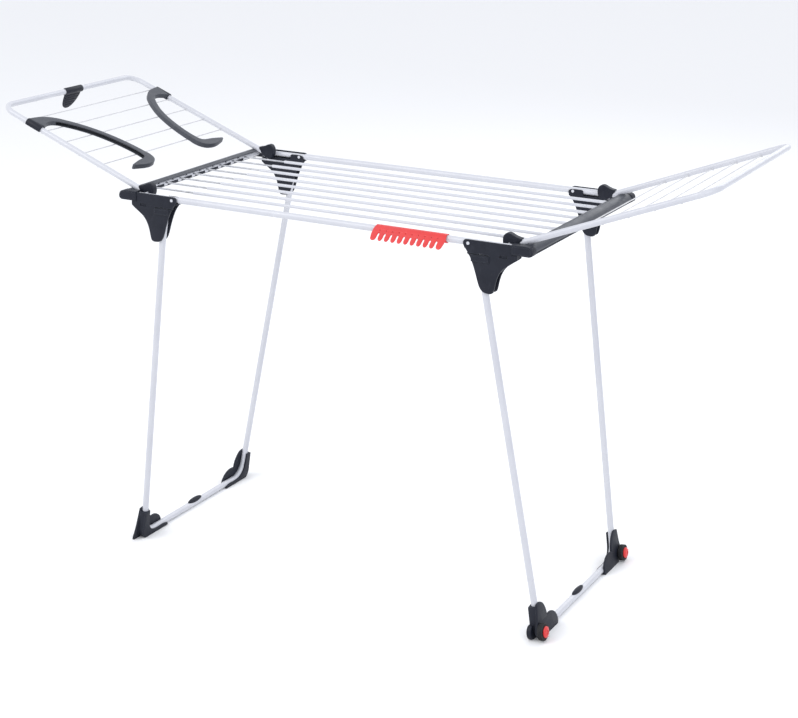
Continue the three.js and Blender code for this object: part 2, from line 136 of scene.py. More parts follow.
def makeEdgeWear():
    group, entry, exit = newGroup(
        "edgeWear",
        [("Width", "NodeSocketFloat", 0.0012), ("Patchiness", "NodeSocketFloat", 90.0),
         ("Amount", "NodeSocketFloat", 1.0)],
        [("Mask", "NodeSocketFloat")],
    )
    nodes, links = group.nodes, group.links
    rounded = nodes.new("ShaderNodeBevel")
    rounded.samples = 4
    links.new(entry.outputs["Width"], rounded.inputs["Radius"])
    surface = nodes.new("ShaderNodeNewGeometry")
    compare = nodes.new("ShaderNodeVectorMath")
    compare.operation = "DOT_PRODUCT"
    links.new(rounded.outputs["Normal"], compare.inputs[0])
    links.new(surface.outputs["Normal"], compare.inputs[1])
    edge = nodes.new("ShaderNodeMapRange")
    edge.inputs["From Min"].default_value = 0.995
    edge.inputs["From Max"].default_value = 0.86
    links.new(compare.outputs["Value"], edge.inputs["Value"])
    place = nodes.new("ShaderNodeTexCoord")
    patches = nodes.new("ShaderNodeTexNoise")
    patches.inputs["Detail"].default_value = 4
    links.new(place.outputs["Object"], patches.inputs["Vector"])
    links.new(entry.outputs["Patchiness"], patches.inputs["Scale"])
    broken = mathNode(nodes, links, "MULTIPLY", edge.outputs["Result"], patches.outputs["Fac"])
    links.new(mathNode(nodes, links, "MULTIPLY", broken, entry.outputs["Amount"], True), exit.inputs["Mask"])
    return group


def makeMouldGrain():
    group, entry, exit = newGroup(
        "mouldGrain",
        [("Grain Scale", "NodeSocketFloat", 1600.0), ("Flow Scale", "NodeSocketFloat", 30.0)],
        [("Height", "NodeSocketFloat"), ("Flow", "NodeSocketFloat")],
    )
    nodes, links = group.nodes, group.links
    place = nodes.new("ShaderNodeTexCoord")
    grain = nodes.new("ShaderNodeTexNoise")
    grain.inputs["Detail"].default_value = 3
    grain.inputs["Roughness"].default_value = 0.65
    flow = nodes.new("ShaderNodeTexNoise")
    flow.inputs["Detail"].default_value = 5
    flow.inputs["Distortion"].default_value = 0.8
    for node, label in ((grain, "Grain Scale"), (flow, "Flow Scale")):
        links.new(place.outputs["Object"], node.inputs["Vector"])
        links.new(entry.outputs[label], node.inputs["Scale"])
    links.new(grain.outputs["Fac"], exit.inputs["Height"])
    spread = nodes.new("ShaderNodeMapRange")
    spread.inputs["From Min"].default_value = 0.34
    spread.inputs["From Max"].default_value = 0.68
    links.new(flow.outputs["Fac"], spread.inputs["Value"])
    links.new(spread.outputs["Result"], exit.inputs["Flow"])
    return group


# upward-facing faces lightened in noisy patches: painted top light, partly dust
def makeDustAndTopLight():
    group, entry, exit = newGroup(
        "dustAndTopLightGroup",
        [("Patch Scale", "NodeSocketFloat", 25.0), ("Amount", "NodeSocketFloat", 0.4)],
        [("Mask", "NodeSocketFloat")],
    )
    nodes, links = group.nodes, group.links
    surface = nodes.new("ShaderNodeNewGeometry")
    parts = nodes.new("ShaderNodeSeparateXYZ")
    links.new(surface.outputs["Normal"], parts.inputs["Vector"])
    upward = nodes.new("ShaderNodeMapRange")
    upward.inputs["From Min"].default_value = 0.25
    upward.inputs["From Max"].default_value = 0.95
    links.new(parts.outputs["Z"], upward.inputs["Value"])
    place = nodes.new("ShaderNodeTexCoord")
    patches = nodes.new("ShaderNodeTexNoise")
    patches.inputs["Detail"].default_value = 8
    patches.inputs["Roughness"].default_value = 0.7
    links.new(place.outputs["Object"], patches.inputs["Vector"])
    links.new(entry.outputs["Patch Scale"], patches.inputs["Scale"])
    upwardPatches = mathNode(nodes, links, "MULTIPLY", upward.outputs["Result"], patches.outputs["Fac"])
    links.new(mathNode(nodes, links, "MULTIPLY", upwardPatches, entry.outputs["Amount"], True), exit.inputs["Mask"])
    return group


def makeFineScuffs():
    group, entry, exit = newGroup(
        "fineScuffs",
        [("Stretch", "NodeSocketVector", (1, 1, 1)), ("Scale", "NodeSocketFloat", 60.0),
         ("Amount", "NodeSocketFloat", 0.5)],
        [("Mask", "NodeSocketFloat")],
    )
    nodes, links = group.nodes, group.links
    place = nodes.new("ShaderNodeTexCoord")
    stretch = nodes.new("ShaderNodeVectorMath")
    stretch.operation = "MULTIPLY"
    links.new(place.outputs["Object"], stretch.inputs[0])
    links.new(entry.outputs["Stretch"], stretch.inputs[1])
    streaks = nodes.new("ShaderNodeTexNoise")
    streaks.inputs["Detail"].default_value = 6
    links.new(stretch.outputs["Vector"], streaks.inputs["Vector"])
    links.new(entry.outputs["Scale"], streaks.inputs["Scale"])
    sparse = nodes.new("ShaderNodeMapRange")
    sparse.inputs["From Min"].default_value = 0.56
    sparse.inputs["From Max"].default_value = 0.72
    links.new(streaks.outputs["Fac"], sparse.inputs["Value"])
    mask = mathNode(nodes, links, "MULTIPLY", sparse.outputs["Result"], entry.outputs["Amount"], True)
    links.new(mask, exit.inputs["Mask"])
    return group


edgeWear = makeEdgeWear()
mouldGrain = makeMouldGrain()
dustAndTopLightGroup = makeDustAndTopLight()
fineScuffs = makeFineScuffs()


# materials
def placeGroup(material, group, **values):
    node = material.node_tree.nodes.new("ShaderNodeGroup")
    node.node_tree = group
    for label, value in values.items():
        node.inputs[label.replace("_", " ")].default_value = value
    return node


def mixColour(material, mask, base, over):
    nodes, links = material.node_tree.nodes, material.node_tree.links
    node = nodes.new("ShaderNodeMix")
    node.data_type = "RGBA"
    links.new(mask, node.inputs["Factor"])
    for socket, value in ((node.inputs[6], base), (node.inputs[7], over)):
        if isinstance(value, tuple):
            socket.default_value = (*value, 1)
        else:
            links.new(value, socket)
    return node.outputs[2]


def makeFinish(name, slot, look):
    material = bpy.data.materials.new(name)
    material.use_nodes = True
    nodes, links = material.node_tree.nodes, material.node_tree.links
    shader = nodes["Principled BSDF"]
    grain = placeGroup(material, mouldGrain, Grain_Scale=look["grainScale"], Flow_Scale=look["flowScale"])
    colour = mixColour(material, grain.outputs["Flow"], look["colour"], look["second"])
    if look.get("scuffs"):
        scuffs = placeGroup(material, fineScuffs, Stretch=look["stretch"], Scale=look["scuffScale"],
                            Amount=look["scuffs"])
        colour = mixColour(material, scuffs.outputs["Mask"], colour, look["scuffColour"])
    if look.get("wear"):
        wear = placeGroup(material, edgeWear, Width=look["wearWidth"], Amount=look["wear"])
        colour = mixColour(material, wear.outputs["Mask"], colour, look["wearColour"])
    # upward faces mixed towards a lighter colour: painted top light, partly dust
    dustAndTopLight = placeGroup(material, dustAndTopLightGroup, Patch_Scale=look.get("dustScale", 25.0), Amount=look["dustAndTopLight"])
    colour = mixColour(material, dustAndTopLight.outputs["Mask"], colour, look["dustAndTopLightColour"])
    links.new(colour, shader.inputs["Base Color"])
    rough = nodes.new("ShaderNodeMapRange")
    rough.inputs["To Min"].default_value = look["rough"][0]
    rough.inputs["To Max"].default_value = look["rough"][1]
    links.new(grain.outputs["Flow"], rough.inputs["Value"])
    links.new(rough.outputs["Result"], shader.inputs["Roughness"])
    bump = nodes.new("ShaderNodeBump")
    bump.inputs["Strength"].default_value = look["bump"]
    bump.inputs["Distance"].default_value = look["bumpDepth"]
    links.new(grain.outputs["Height"], bump.inputs["Height"])
    links.new(bump.outputs["Normal"], shader.inputs["Normal"])
    shader.inputs["Metallic"].default_value = look.get("metal", 0.0)
    shader.inputs["Coat Weight"].default_value = look.get("coat", 0.0)
    shader.inputs["Coat Roughness"].default_value = 0.12
    shader.inputs["Specular IOR Level"].default_value = look.get("specular", 0.5)
    return {"material": material, "slot": slot}


enamel = makeFinish("whiteEnamel", "white_steel", {
    "colour": (0.57, 0.58, 0.62), "second": (0.53, 0.54, 0.585), "grainScale": 700.0, "flowScale": 9.0,
    "rough": (0.26, 0.38), "bump": 0.12, "bumpDepth": 0.0004, "coat": 0.25,
    "scuffs": 0.35, "stretch": (1, 1, 1), "scuffScale": 45.0, "scuffColour": (0.5, 0.51, 0.55),
    # the lighter colour on upward faces is painted top light
    "dustAndTopLight": 0.25, "dustAndTopLightColour": (0.66, 0.67, 0.7),
})
bareRod = makeFinish("drawnZinc", "zinc_steel", {
    "colour": (0.42, 0.43, 0.46), "second": (0.34, 0.35, 0.38), "grainScale": 1500.0, "flowScale": 60.0,
    "rough": (0.28, 0.42), "bump": 0.15, "bumpDepth": 0.0002, "metal": 0.85,
    "scuffs": 0.5, "stretch": (0.08, 1, 1), "scuffScale": 700.0, "scuffColour": (0.6, 0.61, 0.63),
    "dustAndTopLight": 0.15, "dustAndTopLightColour": (0.5, 0.5, 0.5),
})
wireCoat = makeFinish("coatedWire", "line_wire", {
    "colour": (0.62, 0.62, 0.64), "second": (0.55, 0.55, 0.57), "grainScale": 1800.0, "flowScale": 40.0,
    "rough": (0.35, 0.5), "bump": 0.15, "bumpDepth": 0.0002, "dustAndTopLight": 0.2, "dustAndTopLightColour": (0.7, 0.7, 0.7),
})
darkPlastic = makeFinish("anthracitePlastic", "dark_plastic", {
    "colour": (0.011, 0.013, 0.021), "second": (0.016, 0.0185, 0.028), "grainScale": 1700.0, "flowScale": 28.0,
    "rough": (0.40, 0.56), "bump": 0.35, "bumpDepth": 0.0003,
    "scuffs": 0.35, "stretch": (1, 1, 0.4), "scuffScale": 120.0, "scuffColour": (0.028, 0.031, 0.042),
    "wear": 0.9, "wearWidth": 0.0014, "wearColour": (0.085, 0.092, 0.11),
    "dustAndTopLight": 0.22, "dustAndTopLightColour": (0.05, 0.054, 0.066), "specular": 0.2,
})
greyPlastic = makeFinish("slatePlastic", "grey_plastic", {
    "colour": (0.05, 0.055, 0.067), "second": (0.062, 0.067, 0.081), "grainScale": 1600.0, "flowScale": 24.0,
    "rough": (0.36, 0.5), "bump": 0.3, "bumpDepth": 0.0003,
    "scuffs": 0.3, "stretch": (1, 0.3, 1), "scuffScale": 110.0, "scuffColour": (0.11, 0.115, 0.128),
    "wear": 0.8, "wearWidth": 0.0016, "wearColour": (0.2, 0.21, 0.23),
    "dustAndTopLight": 0.3, "dustAndTopLightColour": (0.11, 0.116, 0.13), "specular": 0.25,
})
tyreRubber = makeFinish("tyreRubber", "tyre_rubber", {
    "colour": (0.009, 0.0095, 0.011), "second": (0.015, 0.0155, 0.018), "grainScale": 1200.0, "flowScale": 70.0,
    "rough": (0.62, 0.82), "bump": 0.5, "bumpDepth": 0.0004,
    "wear": 0.8, "wearWidth": 0.0012, "wearColour": (0.06, 0.059, 0.057),
    "dustAndTopLight": 0.35, "dustAndTopLightColour": (0.062, 0.061, 0.058), "specular": 0.35,
})
redPlastic = makeFinish("signalRedPlastic", "red_plastic", {
    "colour": (0.70, 0.022, 0.022), "second": (0.62, 0.015, 0.018), "grainScale": 1500.0, "flowScale": 30.0,
    "rough": (0.28, 0.42), "bump": 0.2, "bumpDepth": 0.0003, "coat": 0.15,
    "wear": 0.7, "wearWidth": 0.001, "wearColour": (0.82, 0.16, 0.13),
    "dustAndTopLight": 0.2, "dustAndTopLightColour": (0.74, 0.28, 0.25),
})
print("finishes ready")


# modelling helpers
def onlySelect(*pieces):
    bpy.ops.object.select_all(action="DESELECT")
    for piece in pieces:
        piece.select_set(True)
    bpy.context.view_layer.objects.active = pieces[0]


def applyPlace(piece):
    onlySelect(piece)
    bpy.ops.object.transform_apply(location=True, rotation=True, scale=True)
    return piece


def named(name):
    piece = bpy.context.object
    piece.name = piece.data.name = name
    return piece


def pickFaces(piece, test):
    onlySelect(piece)
    bpy.ops.object.mode_set(mode="EDIT")
    bpy.ops.mesh.select_mode(type="FACE")
    bpy.ops.mesh.select_all(action="DESELECT")
    work = bmesh.from_edit_mesh(piece.data)
    for face in work.faces:
        face.select_set(test(face.calc_center_median(), face.normal))
    bmesh.update_edit_mesh(piece.data)


def leaveEdit():
    bpy.ops.object.mode_set(mode="OBJECT")


def joined(name, pieces):
    onlySelect(*pieces)
    bpy.ops.object.join()
    return named(name)


def copied(piece, name, turn=None, mirror=(1, 1, 1)):
    onlySelect(piece)
    bpy.ops.object.duplicate()
    twin = named(name)
    twin.scale = mirror
    applyPlace(twin)
    if turn is not None:
        twin.matrix_world = turn
        applyPlace(twin)
    return twin


def mended(piece):
    onlySelect(piece)
    bpy.ops.object.mode_set(mode="EDIT")
    bpy.ops.mesh.select_all(action="SELECT")
    bpy.ops.mesh.remove_doubles(threshold=0.000002)
    bpy.ops.mesh.normals_make_consistent(inside=False)
    leaveEdit()
    return piece


def finishPiece(piece, body, finish, *nodes, smooth=36):
    mended(piece)
    bpy.ops.object.shade_smooth_by_angle(angle=math.radians(smooth))
    piece.data.materials.clear()
    piece.data.materials.append(finish["material"])
    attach(piece, body)
    if nodes:
        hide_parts(*nodes)
    return piece


# the outline's a and b run along X and Z (or Y and Z), its thickness along the third axis
uprightAlongX = {"turn": Matrix(((1, 0, 0, 0), (0, 0, -1, 0), (0, 1, 0, 0), (0, 0, 0, 1))), "across": Vector((0, 1, 0))}
uprightAlongY = {"turn": Matrix(((0, 0, 1, 0), (1, 0, 0, 0), (0, 1, 0, 0), (0, 0, 0, 1))), "across": Vector((1, 0, 0))}
lyingFlat = {"turn": Matrix.Identity(4), "across": Vector((0, 0, 1))}


def plate(name, loops, low, high, edge, facing=uprightAlongX, rings=2):
    curve = bpy.data.curves.new(name, "CURVE")
    curve.dimensions = "2D"
    curve.fill_mode = "BOTH"
    curve.resolution_u = 4
    for loop in loops:
        spline = curve.splines.new("BEZIER")
        spline.bezier_points.add(len(loop) - 1)
        spline.use_cyclic_u = True
        for knot, point in zip(spline.bezier_points, loop):
            knot.co = (point[0] * mm, point[1] * mm, 0)
            handle = "VECTOR" if len(point) > 2 else "AUTO"  # a third value marks a sharp corner
            knot.handle_left_type = knot.handle_right_type = handle
    curve.bevel_depth = edge * mm
    curve.bevel_resolution = rings
    curve.offset = -edge * mm
    curve.extrude = ((high - low) / 2 - edge) * mm
    shape = bpy.data.objects.new(name, curve)
    scene.collection.objects.link(shape)
    onlySelect(shape)
    bpy.ops.object.convert(target="MESH")
    shape = named(name)
    shape.matrix_world = Matrix.Translation(facing["across"] * (low + high) / 2 * mm) @ facing["turn"]
    return mended(applyPlace(shape))


def sharp(points):
    return [(a, b, 1) for a, b in points]


def roundedBlock(name, low, high, edge, rings=2):
    centre = [(a + b) / 2 * mm for a, b in zip(low, high)]
    bpy.ops.object.select_all(action="DESELECT")
    bpy.ops.mesh.primitive_cube_add(size=1, location=centre)
    block = named(name)
    block.scale = [(b - a) * mm for a, b in zip(low, high)]
    applyPlace(block)
    bpy.ops.object.mode_set(mode="EDIT")
    bpy.ops.mesh.select_all(action="SELECT")
    bpy.ops.mesh.bevel(offset=edge * mm, segments=rings, affect="EDGES")
    leaveEdit()
    return block


def peg(name, radius, start, end, edge=0.3, sides=28):
    start, end = Vector(start) * mm, Vector(end) * mm
    along = end - start
    bpy.ops.object.select_all(action="DESELECT")
    bpy.ops.mesh.primitive_cylinder_add(vertices=sides, radius=radius * mm, depth=along.length,
                                        location=(start + end) / 2, rotation=along.to_track_quat("Z", "Y").to_euler())
    pin = applyPlace(named(name))
    axis = along.normalized()
    pickFaces(pin, lambda centre, normal: abs(normal.dot(axis)) > 0.99)
    bpy.ops.mesh.bevel(offset=edge * mm, segments=2, affect="EDGES")
    leaveEdit()
    return pin


# a tube is a disc pushed along its run and spun round its bends
def tubeStart(name, at, along, radius, sides=24):
    bpy.ops.object.select_all(action="DESELECT")
    bpy.ops.mesh.primitive_circle_add(vertices=sides, radius=radius * mm, fill_type="NGON", location=Vector(at) * mm,
                                      rotation=Vector(along).to_track_quat("Z", "Y").to_euler())
    tube = applyPlace(named(name))
    bpy.ops.object.mode_set(mode="EDIT")
    bpy.ops.mesh.select_mode(type="FACE")
    bpy.ops.mesh.select_all(action="SELECT")
    return tube


def tubeRun(step):
    bpy.ops.mesh.extrude_region_move(TRANSFORM_OT_translate={"value": Vector(step) * mm})


def tubeTurn(centre, axis, angle, steps):
    # spin counts the other way
    bpy.ops.mesh.spin(steps=steps, angle=-math.radians(angle), center=Vector(centre) * mm, axis=axis)


def hollowEnd(tube, at, outward, wall, depth):
    at, outward = Vector(at) * mm, Vector(outward)
    pickFaces(tube, lambda centre, normal: abs(normal.dot(outward)) > 0.95 and (centre - at).length < 0.001)
    bpy.ops.mesh.inset(thickness=wall * mm, use_even_offset=True)
    bpy.ops.mesh.extrude_region_move(TRANSFORM_OT_translate={"value": -outward * depth * mm})
    leaveEdit()


def straightTube(name, start, end, radius, openStart=0, sides=24):
    along = Vector(end) - Vector(start)
    tube = tubeStart(name, start, along, radius, sides)
    tubeRun(along)
    leaveEdit()
    if openStart:
        hollowEnd(tube, start, -along.normalized(), openStart, 30)
    return tube


def cutAway(piece, *tools):
    for tool in tools:
        mended(piece)
        cut = piece.modifiers.new("cut", "BOOLEAN")
        cut.operation = "DIFFERENCE"
        cut.solver = "EXACT"
        cut.object = tool
        bpy.ops.object.modifier_apply(modifier="cut")
        bpy.data.objects.remove(tool)
    return piece


sides = {"right": 1, "left": -1}
depths = {"back": 1, "front": -1}
frameBody = {"right": "main_frame", "left": "extension_frame"}
legBody = {"right": "right_leg_frame", "left": "left_leg_frame"}
wingBody = {"right": "right_wing", "left": "left_wing"}


def depthAt(side, sy):
    return "back" if sides[side] * sy > 0 else "front"


def endTurn(side):
    return Matrix.Rotation(0 if side == "right" else math.pi, 4, "Z")


# rails and rods
rail = {"height": 888, "y": 275, "radius": 7.5, "innerRadius": 6.2, "open": -359, "end": 470, "innerEnd": 400}
rod = {"count": 8, "pitch": 56.5, "radius": 3.5, "innerRadius": 2.1, "open": -373, "end": 490.7, "innerEnd": 400}
wingHinge = {"x": 455, "z": 892, "angle": 21.2, "pin": 2.5, "pinIn": 251, "pinOut": 270}


def rodPlace(i):
    return (i - (rod["count"] - 1) / 2) * rod["pitch"]


def wingPin(sx, sy):
    x, z = sx * wingHinge["x"], wingHinge["z"]
    return peg("pin", wingHinge["pin"], (x, sy * wingHinge["pinIn"], z), (x, sy * wingHinge["pinOut"], z))


def makeRails():
    for depth, sy in depths.items():
        y, z = sy * rail["y"], rail["height"]
        outer = straightTube("outerRail", (rail["open"], y, z), (rail["end"], y, z), rail["radius"], 1.0, 32)
        pin = wingPin(1, sy)
        finishPiece(joined("outerRail_" + depth, [outer, pin]), "main_frame", enamel, "rail_" + depth)
        inner = straightTube("innerRail", (-rail["end"], y, z), (rail["innerEnd"], y, z), rail["innerRadius"], 0, 28)
        pin = wingPin(-1, sy)
        finishPiece(joined("innerRail_" + depth, [inner, pin]), "extension_frame", enamel, "inner_rail_" + depth)


def makeRods():
    y, z = rodPlace(0), rail["height"]
    outer = straightTube("rodTube", (rod["open"], y, z), (rod["end"], y, z), rod["radius"], 0.8, 20)
    inner = straightTube("rodWire", (-rod["end"], y, z), (rod["innerEnd"], y, z), rod["innerRadius"], 0, 16)
    for i in range(rod["count"]):
        move = Matrix.Translation((0, (rodPlace(i) - y) * mm, 0))
        finishPiece(copied(outer, "rodTube_%d" % (i + 1), move), "main_frame", enamel, "rod_%d" % (i + 1))
        finishPiece(copied(inner, "rodWire_%d" % (i + 1), move), "extension_frame", bareRod, "inner_rod_%d" % (i + 1))
    for first in (outer, inner):
        bpy.data.objects.remove(first)


makeRails()
makeRods()
print("rails and rods done")


# end beams
endBeam = {"x": 498, "z": 886, "radius": 7, "reach": 266.3, "blockIn": 266.6, "blockOut": 289}
coverProfile = [(489, 893.3, 1), (489, 895.2, 1), (493, 896.9), (496, 897.4, 1), (496.6, 896.8, 1), (498.4, 896.8, 1),
                (499, 897.6, 1), (504, 897.2), (510.5, 895), (514.8, 891), (517, 886), (515.4, 881.6, 1), (512.6, 882.4, 1),
                (513.6, 886), (511, 890.4), (506, 893.3), (500, 894.4), (494, 894.2), (491, 893.4, 1)]
lipProfile = [(502, 875.6, 1), (511, 875.6, 1), (515, 877.6, 1), (514, 878.6, 1), (502, 878.4, 1)]
blockProfile = [(470.3, 875.6, 1), (511, 875.6, 1), (517, 879), (517, 890), (512, 895.6), (500, 897.6, 1),
                (470.3, 897.6, 1)]
chevron = [(-5, -1.6, 1), (-3.6, -1.6, 1), (0, 1.2, 1), (3.6, -1.6, 1), (5, -1.6, 1), (0.6, 2.6, 1), (-0.6, 2.6, 1)]


def makeEndBlock():
    block = plate("cornerBlock", [blockProfile], endBeam["blockIn"], endBeam["blockOut"], 1.6)
    pickFaces(block, lambda centre, normal: normal.y > 0.99)
    bpy.ops.mesh.inset(thickness=1.6 * mm, use_even_offset=True)
    bpy.ops.mesh.extrude_region_move(TRANSFORM_OT_translate={"value": (0, -0.7 * mm, 0)})
    bpy.ops.mesh.inset(thickness=0.7 * mm, use_even_offset=True)
    bpy.ops.mesh.extrude_region_move(TRANSFORM_OT_translate={"value": (0, 0.6 * mm, 0)})
    leaveEdit()
    return block


def makeEndCover():
    reach = endBeam["blockIn"] + 1
    pieces = [
        plate("coverShell", [coverProfile], -reach, reach, 0.3),
        plate("coverLip", [lipProfile], -reach, reach, 0.4),
    ]
    return joined("endCover", pieces)


def makeBarInlays():
    inlays = []
    for i in range(rod["count"] - 1):
        middle = rodPlace(i) + rod["pitch"] / 2
        inlays.append(roundedBlock("inlay", (490.2, middle - 20, 880.8), (493, middle + 20, 886.8), 0.5))
        marks = [(a + middle, b + 889.6, corner) for a, b, corner in chevron]
        inlays.append(plate("clipMark", [marks], 491.2, 492.6, 0.2, uprightAlongY))
    return joined("barInlays", inlays)


def makeEndBeams():
    cover, inlays, block = makeEndCover(), makeBarInlays(), makeEndBlock()
    corners = joined("cornerBlocks", [copied(block, "farBlock", mirror=(1, -1, 1)), block])
    for side, sx in sides.items():
        bar = straightTube("crossBar_" + side, (sx * endBeam["x"], -endBeam["reach"], endBeam["z"]),
                           (sx * endBeam["x"], endBeam["reach"], endBeam["z"]), endBeam["radius"], 0, 28)
        finishPiece(bar, frameBody[side], enamel, "end_bar_" + side)
        piece = copied(cover, "beamCover_" + side, mirror=(sx, 1, 1))
        finishPiece(piece, frameBody[side], greyPlastic, "end_cover_" + side)
        finishPiece(copied(corners, "beamCorners_" + side, mirror=(sx, 1, 1)), frameBody[side], darkPlastic)
        finishPiece(copied(inlays, "beamInlays_" + side, mirror=(sx, 1, 1)), frameBody[side], darkPlastic)
    for first in (cover, inlays, corners):
        bpy.data.objects.remove(first)


makeEndBeams()
print("end beams done")


# corner brackets
bracket = {"outer": (283, 287), "inner": (264.2, 267.2), "rivetX": 372.3, "pivotX": 397, "pivotZ": 859}
shieldEdge = [(484, 866, 1), (478, 861), (462, 850), (452, 842), (443, 829), (437, 812), (434, 797), (431.5, 789, 1),
              (427, 786.3), (418, 786), (409, 788), (402, 794.5), (396, 808), (391, 824), (384, 844)]
outerShield = [(362, 882), (360.5, 889), (363.4, 894.4), (369, 895.8), (378, 895.8, 1), (469.8, 895.8, 1), (469.8, 874.8, 1),
               (484, 874.8, 1)] + shieldEdge + [(375, 863), (367, 875)]
innerShield = [(362, 881), (362.4, 889), (366, 891.6), (372, 892.6), (394, 892.6, 1), (397, 890.4, 1), (398, 880, 1),
               (469.8, 879, 1), (469.8, 874.8, 1), (484, 874.8, 1)] + shieldEdge + [(375, 863), (367, 874)]
spacerWeb = sharp([(409.4, 832), (407.5, 846), (426, 868), (426, 880), (469.8, 880), (469.8, 874.8), (483, 874.8), (483, 867),
                   (477, 862), (462, 851), (452, 844), (443, 832)])
latchWindow = sharp([(444, 865.5), (461, 865.5), (461, 871.5), (444, 871.5)])
pressGap = sharp([(371, 865.7), (421, 865.7), (421, 868.2), (406, 868.2), (405, 869.2), (397, 869.2), (396, 868.2),
                  (370, 868.2)])
railTray = sharp([(362, 876.5), (469, 876.5), (469, 879.6), (362, 879.6)])


def makeBracket():
    front, back = bracket["outer"], bracket["inner"]
    x, z = bracket["pivotX"], bracket["pivotZ"]
    pad = roundedBlock("pressPad", (380, 285.4, 851), (421, 289.5, 865.2), 1.1, 3)
    pickFaces(pad, lambda centre, normal: normal.y > 0.99)
    bpy.ops.mesh.inset(thickness=1.8 * mm)
    bpy.ops.mesh.extrude_region_move(TRANSFORM_OT_translate={"value": (0, -0.5 * mm, 0)})
    leaveEdit()
    latch = roundedBlock("windowLatch", (451, 280, 865.8), (459, 285.4, 871.2), 0.6)
    pieces = [
        plate("outerShield", [outerShield, latchWindow, pressGap], front[0], front[1], 0.55),
        plate("innerShield", [innerShield], back[0], back[1], 0.5),
        plate("spacerWeb", [spacerWeb], back[0] + 1, front[0] + 1.5, 0.3),
        pad,
        latch,
        peg("legPin", 3, (x, back[0] + 1, z), (x, front[1] - 1, z)),
        peg("pinBoss", 7.5, (x, back[0] - 1.1, z), (x, back[0] + 1, z), 0.5),
        plate("railTray", [railTray], back[0] + 1, front[0] + 1, 0.3),
    ]
    return joined("cornerBracket", pieces)


def makeRivet():
    x, z = bracket["rivetX"], rail["height"]
    heads = [
        peg("headOut", 3.6, (x, bracket["outer"][1] - 0.5, z), (x, bracket["outer"][1] + 1.5, z), 0.9),
        peg("headIn", 3.6, (x, bracket["inner"][0] - 1.5, z), (x, bracket["inner"][0] + 0.5, z), 0.9),
    ]
    return joined("railRivet", heads)


def makeBrackets():
    shape, rivet = makeBracket(), makeRivet()
    for side, sx in sides.items():
        for depth, sy in depths.items():
            corner = depth + "_" + side
            piece = copied(shape, "cornerBracket_" + corner, mirror=(sx, sy, 1))
            finishPiece(piece, frameBody[side], darkPlastic, "bracket_" + corner)
            finishPiece(copied(rivet, "railRivet_" + corner, mirror=(sx, sy, 1)), frameBody[side], enamel)
    for first in (shape, rivet):
        bpy.data.objects.remove(first)


makeBrackets()
print("brackets done")


# leg frames, modelled with their pivots at the origin
leg = {"pivotX": 397, "pivotZ": 859, "splay": 9.29, "length": 861, "radius": 7.5, "top": 10, "footY": 220,
       "kinkZ": -80, "kinkRadius": 120, "bendRadius": 40}


def legPlace(side):
    pivot = Matrix.Translation((leg["pivotX"] * mm, 0, leg["pivotZ"] * mm))
    return endTurn(side) @ pivot @ Matrix.Rotation(math.radians(-leg["splay"]), 4, "Y")


def makeLegTube():
    lean = math.atan2(rail["y"] - leg["footY"], leg["length"] + leg["kinkZ"])
    kinkBack = leg["kinkRadius"] * math.tan(lean / 2)
    corner = math.pi / 2 - lean
    cornerBack = leg["bendRadius"] * math.tan(corner / 2)
    slant = Vector((0, -math.sin(lean), -math.cos(lean)))
    slantLength = math.hypot(rail["y"] - leg["footY"], leg["length"] + leg["kinkZ"]) - kinkBack - cornerBack
    top = Vector((0, rail["y"], leg["top"]))
    tube = tubeStart("legTube", top, (0, 0, -1), leg["radius"], 28)
    first = Vector((0, rail["y"], leg["kinkZ"] + kinkBack))
    tubeRun(first - top)
    tubeTurn(first + Vector((0, -leg["kinkRadius"], 0)), (1, 0, 0), -math.degrees(lean), 4)
    tubeRun(slant * slantLength)
    bendStart = Vector((0, leg["footY"], -leg["length"])) - slant * cornerBack
    inward = Vector((0, -math.cos(lean), math.sin(lean)))
    tubeTurn(bendStart + inward * leg["bendRadius"], (1, 0, 0), -math.degrees(corner), 12)
    tubeRun((0, -2 * (leg["footY"] - cornerBack), 0))
    farBend = Vector((0, -leg["footY"] + cornerBack, -leg["length"]))
    tubeTurn(farBend + Vector((0, 0, leg["bendRadius"])), (1, 0, 0), -math.degrees(corner), 12)
    tubeRun(Vector((0, -math.sin(lean), math.cos(lean))) * slantLength)
    farKink = Vector((0, -rail["y"], leg["kinkZ"] + kinkBack))
    kinkSpin = farKink + Vector((0, leg["kinkRadius"], 0))
    tubeTurn(kinkSpin, (1, 0, 0), -math.degrees(lean), 4)
    tubeRun((0, 0, leg["top"] - leg["kinkZ"] - kinkBack))
    leaveEdit()
    return tube


# feet: an outer shield with a lobe up the leg and one along the cross tube, and a wrap round the inside of the bend
footShield = [(15, 70, 1), (3, 72), (-8, 69), (-18, 60), (-25, 48), (-28, 38), (-29, 29, 1), (-36, 30), (-50, 30), (-63, 25),
              (-74, 15), (-80, 2), (-80, -8), (-74, -16, 1), (31, -16, 1), (32, -8), (26, 12), (20, 42)]
wheeledShield = footShield[:14] + [(6, -16, 1), (12, -3.6), (20, -3.8), (27, 0.2), (31, 8), (29.6, 16), (24, 28),
                                   (20, 42)]
footUnder = [(-87, -6.5), (-80, -9.6), (-5, -11), (6, -9), (13, -3), (18, 8), (18, 30)]
footWrap = [(17, 64, 1), (-1, 66, 1), (-2.5, 46), (-4, 30), (-10, 15), (-22, 5.5), (-40, 2), (-78, 1),
            (-86, -2.5)] + footUnder
footHeel = [(17, 64, 1), (7, 66, 1), (5, 40), (-4, 6), (-30, -3), (-84, -4, 1)] + footUnder[1:]
toe = {"y": 240, "z": -853.4, "radius": 16.6, "from": -85, "to": 88, "low": -13, "high": -2.5, "steps": 8}
toeRoot = [(228, -839, 1), (228, -870, 1)]
toeGap = {"low": (-20, 234, -885), "high": (5, 239, -866.5)}
